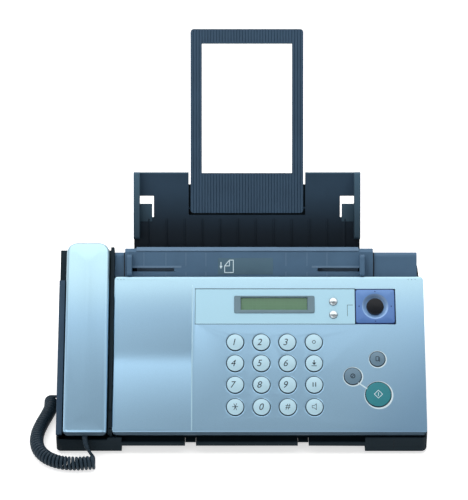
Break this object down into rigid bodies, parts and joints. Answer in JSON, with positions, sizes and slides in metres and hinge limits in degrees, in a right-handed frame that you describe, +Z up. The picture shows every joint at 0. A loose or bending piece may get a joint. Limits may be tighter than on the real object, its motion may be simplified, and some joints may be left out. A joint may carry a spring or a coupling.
{
  "type": "fax machine",
  "caption": "Desktop fax machine with a sloped key panel, a corded handset in a cradle at its left, a document feeder and a leaning paper tray with a tall extension.",
  "frame": {"origin": "on the table, below the middle of the machine's box, the handset cord left out", "axes": "+X to the user's right, +Y to the back, +Z up; the user stands at -Y"},
  "size_m": [0.4023, 0.3251, 0.3363],
  "materials": {
    "silver_plastic": "satin silver-blue paint film on plastic",
    "grey_blue_plastic": "fine texture",
    "dark_plastic": "fine texture",
    "tray_plastic": "fine texture",
    "extension_plastic": "ribbed",
    "display_blue": "satin",
    "bezel_grey": "satin",
    "lcd_glass": "clear gloss over a grey-green liquid crystal cell",
    "nav_blue": "gloss",
    "button_black": "gloss",
    "key_pale": "satin",
    "key_grey": "satin",
    "key_teal": "satin",
    "key_chrome": "plated plastic",
    "rubber_black": "matt",
    "roller_rubber": "ground",
    "sheet_steel": "zinc plated",
    "bright_steel": "polished",
    "board_green": "solder mask",
    "cord_grey": "satin",
    "white_nylon": "natural"
  },
  "bodies": {
    "base": {"base_casing": "dark_plastic", "rear_cover": "grey_blue_plastic", "document_table": "grey_blue_plastic", "hopper_front": "grey_blue_plastic", "paper_tray": "tray_plastic", "handset_cradle": "dark_plastic", "print_chassis": "sheet_steel", "carriage_rod": "bright_steel", "carriage_motor": "sheet_steel", "main_board": "board_green", "power_supply": "sheet_steel", "foot_front_left": "rubber_black", "foot_front_right": "rubber_black", "foot_rear_left": "rubber_black", "foot_rear_right": "rubber_black", "cord_lead_handset": "cord_grey", "cord_curl": "cord_grey", "cord_lead_base": "cord_grey"},
    "control_panel": {"control_panel": "silver_plastic", "display_plate": "display_blue", "lcd_bezel": "bezel_grey", "lcd_window": "lcd_glass", "panel_board": "board_green"},
    "handset": {"handset_upper_shell": "silver_plastic", "handset_lower_shell": "silver_plastic"},
    "print_carriage": {"print_carriage": "dark_plastic", "ink_cartridge": "button_black"},
    "nav_gimbal": {"nav_gimbal": "white_nylon"},
    "nav_pad": {"nav_pad": "nav_blue"},
    "nav_button": {"nav_button": "button_black"},
    "hook_switch": {"hook_switch": "white_nylon"},
    "guide_left": {"guide_left": "dark_plastic"},
    "guide_right": {"guide_right": "dark_plastic"},
    "guide_pinion": {"guide_pinion": "white_nylon"},
    "paper_extension": {"paper_extension": "extension_plastic"},
    "feed_roller": {"feed_roller": "roller_rubber"},
    "document_roller": {"document_roller": "roller_rubber"},
    "copy_key": {"copy_key": "key_grey"},
    "function_key_lower": {"function_key_lower": "key_pale"},
    "function_key_middle": {"function_key_middle": "key_pale"},
    "function_key_upper": {"function_key_upper": "key_pale"},
    "key_0": {"key_0": "key_pale"},
    "key_1": {"key_1": "key_pale"},
    "key_2": {"key_2": "key_pale"},
    "key_3": {"key_3": "key_pale"},
    "key_4": {"key_4": "key_pale"},
    "key_5": {"key_5": "key_pale"},
    "key_6": {"key_6": "key_pale"},
    "key_7": {"key_7": "key_pale"},
    "key_8": {"key_8": "key_pale"},
    "key_9": {"key_9": "key_pale"},
    "key_hash": {"key_hash": "key_pale"},
    "key_star": {"key_star": "key_pale"},
    "small_key_lower": {"small_key_lower": "key_chrome"},
    "small_key_upper": {"small_key_upper": "key_chrome"},
    "speaker_key": {"speaker_key": "key_pale"},
    "start_key": {"start_key": "key_teal"},
    "stop_key": {"stop_key": "key_grey"}
  },
  "joints": [
    {"name": "panel_hinge", "type": "hinge", "parent": "base", "child": "control_panel", "pos_m": [0.001, -0.13778, 0.0235], "axis": [1, 0, 0], "range_deg": [0, 50]},
    {"name": "copy_key_press", "type": "slide", "parent": "control_panel", "child": "copy_key", "axis": [0, 0.6428, -0.766], "range_m": [0, 0.001], "stiffness_N_per_m": 200},
    {"name": "function_key_lower_press", "type": "slide", "parent": "control_panel", "child": "function_key_lower", "axis": [0, 0.6428, -0.766], "range_m": [0, 0.001], "stiffness_N_per_m": 200},
    {"name": "function_key_middle_press", "type": "slide", "parent": "control_panel", "child": "function_key_middle", "axis": [0, 0.6428, -0.766], "range_m": [0, 0.001], "stiffness_N_per_m": 200},
    {"name": "function_key_upper_press", "type": "slide", "parent": "control_panel", "child": "function_key_upper", "axis": [0, 0.6428, -0.766], "range_m": [0, 0.001], "stiffness_N_per_m": 200},
    {"name": "key_0_press", "type": "slide", "parent": "control_panel", "child": "key_0", "axis": [0, 0.6428, -0.766], "range_m": [0, 0.001], "stiffness_N_per_m": 200},
    {"name": "key_1_press", "type": "slide", "parent": "control_panel", "child": "key_1", "axis": [0, 0.6428, -0.766], "range_m": [0, 0.001], "stiffness_N_per_m": 200},
    {"name": "key_2_press", "type": "slide", "parent": "control_panel", "child": "key_2", "axis": [0, 0.6428, -0.766], "range_m": [0, 0.001], "stiffness_N_per_m": 200},
    {"name": "key_3_press", "type": "slide", "parent": "control_panel", "child": "key_3", "axis": [0, 0.6428, -0.766], "range_m": [0, 0.001], "stiffness_N_per_m": 200},
    {"name": "key_4_press", "type": "slide", "parent": "control_panel", "child": "key_4", "axis": [0, 0.6428, -0.766], "range_m": [0, 0.001], "stiffness_N_per_m": 200},
    {"name": "key_5_press", "type": "slide", "parent": "control_panel", "child": "key_5", "axis": [0, 0.6428, -0.766], "range_m": [0, 0.001], "stiffness_N_per_m": 200},
    {"name": "key_6_press", "type": "slide", "parent": "control_panel", "child": "key_6", "axis": [0, 0.6428, -0.766], "range_m": [0, 0.001], "stiffness_N_per_m": 200},
    {"name": "key_7_press", "type": "slide", "parent": "control_panel", "child": "key_7", "axis": [0, 0.6428, -0.766], "range_m": [0, 0.001], "stiffness_N_per_m": 200},
    {"name": "key_8_press", "type": "slide", "parent": "control_panel", "child": "key_8", "axis": [0, 0.6428, -0.766], "range_m": [0, 0.001], "stiffness_N_per_m": 200},
    {"name": "key_9_press", "type": "slide", "parent": "control_panel", "child": "key_9", "axis": [0, 0.6428, -0.766], "range_m": [0, 0.001], "stiffness_N_per_m": 200},
    {"name": "key_hash_press", "type": "slide", "parent": "control_panel", "child": "key_hash", "axis": [0, 0.6428, -0.766], "range_m": [0, 0.001], "stiffness_N_per_m": 200},
    {"name": "key_star_press", "type": "slide", "parent": "control_panel", "child": "key_star", "axis": [0, 0.6428, -0.766], "range_m": [0, 0.001], "stiffness_N_per_m": 200},
    {"name": "small_key_lower_press", "type": "slide", "parent": "control_panel", "child": "small_key_lower", "axis": [0, 0.6428, -0.766], "range_m": [0, 0.001], "stiffness_N_per_m": 200},
    {"name": "small_key_upper_press", "type": "slide", "parent": "control_panel", "child": "small_key_upper", "axis": [0, 0.6428, -0.766], "range_m": [0, 0.001], "stiffness_N_per_m": 200},
    {"name": "speaker_key_press", "type": "slide", "parent": "control_panel", "child": "speaker_key", "axis": [0, 0.6428, -0.766], "range_m": [0, 0.001], "stiffness_N_per_m": 200},
    {"name": "start_key_press", "type": "slide", "parent": "control_panel", "child": "start_key", "axis": [0, 0.6428, -0.766], "range_m": [0, 0.001], "stiffness_N_per_m": 200},
    {"name": "stop_key_press", "type": "slide", "parent": "control_panel", "child": "stop_key", "axis": [0, 0.6428, -0.766], "range_m": [0, 0.001], "stiffness_N_per_m": 200},
    {"name": "nav_tilt_up_down", "type": "hinge", "parent": "control_panel", "child": "nav_gimbal", "pos_m": [0.13835, -0.03666, 0.10679], "axis": [1, 0, 0], "range_deg": [-2, 2], "stiffness_Nm_per_rad": 0.4},
    {"name": "nav_tilt_left_right", "type": "hinge", "parent": "nav_gimbal", "child": "nav_pad", "pos_m": [0.13835, -0.03666, 0.10679], "axis": [0, 0.766, 0.6428], "range_deg": [-2, 2], "stiffness_Nm_per_rad": 0.4},
    {"name": "nav_button_press", "type": "slide", "parent": "nav_pad", "child": "nav_button", "axis": [0, 0.6428, -0.766], "range_m": [0, 0.0008], "stiffness_N_per_m": 200},
    {"name": "handset_lift", "type": "slide", "parent": "base", "child": "handset", "axis": [0, -0.6428, 0.766], "range_m": [0, 0.06]},
    {"name": "hook_switch_rise", "type": "slide", "parent": "base", "child": "hook_switch", "axis": [0, -0.6428, 0.766], "range_m": [0, 0.0025]},
    {"name": "guide_left_slide", "type": "slide", "parent": "base", "child": "guide_left", "axis": [1, 0, 0], "range_m": [0, 0.043]},
    {"name": "guide_right_slide", "type": "slide", "parent": "base", "child": "guide_right", "axis": [-1, 0, 0], "range_m": [0, 0.043]},
    {"name": "guide_pinion_turn", "type": "hinge", "parent": "base", "child": "guide_pinion", "pos_m": [0.0057, -0.00149, 0.13125], "axis": [0, 0.8423, -0.5391], "range_deg": [0, 540]},
    {"name": "extension_fold", "type": "hinge", "parent": "base", "child": "paper_extension", "pos_m": [0.007, 0.05313, 0.17364], "axis": [1, 0, 0], "range_deg": [0, 90]},
    {"name": "carriage_slide", "type": "slide", "parent": "base", "child": "print_carriage", "axis": [1, 0, 0], "range_m": [0, 0.17]},
    {"name": "feed_roller_turn", "type": "hinge", "parent": "base", "child": "feed_roller", "pos_m": [0.007, -0.01351, 0.08222], "axis": [1, 0, 0], "continuous": true},
    {"name": "document_roller_turn", "type": "hinge", "parent": "base", "child": "document_roller", "pos_m": [0.007, -0.02092, 0.10148], "axis": [1, 0, 0], "continuous": true}
  ],
  "couplings": [
    {"joint": "hook_switch_rise", "follows": "handset_lift", "ratio": 0.041667},
    {"joint": "guide_right_slide", "follows": "guide_left_slide", "ratio": 1},
    {"joint": "guide_pinion_turn", "follows": "guide_left_slide", "rad_per_m": 217.39}
  ]
}
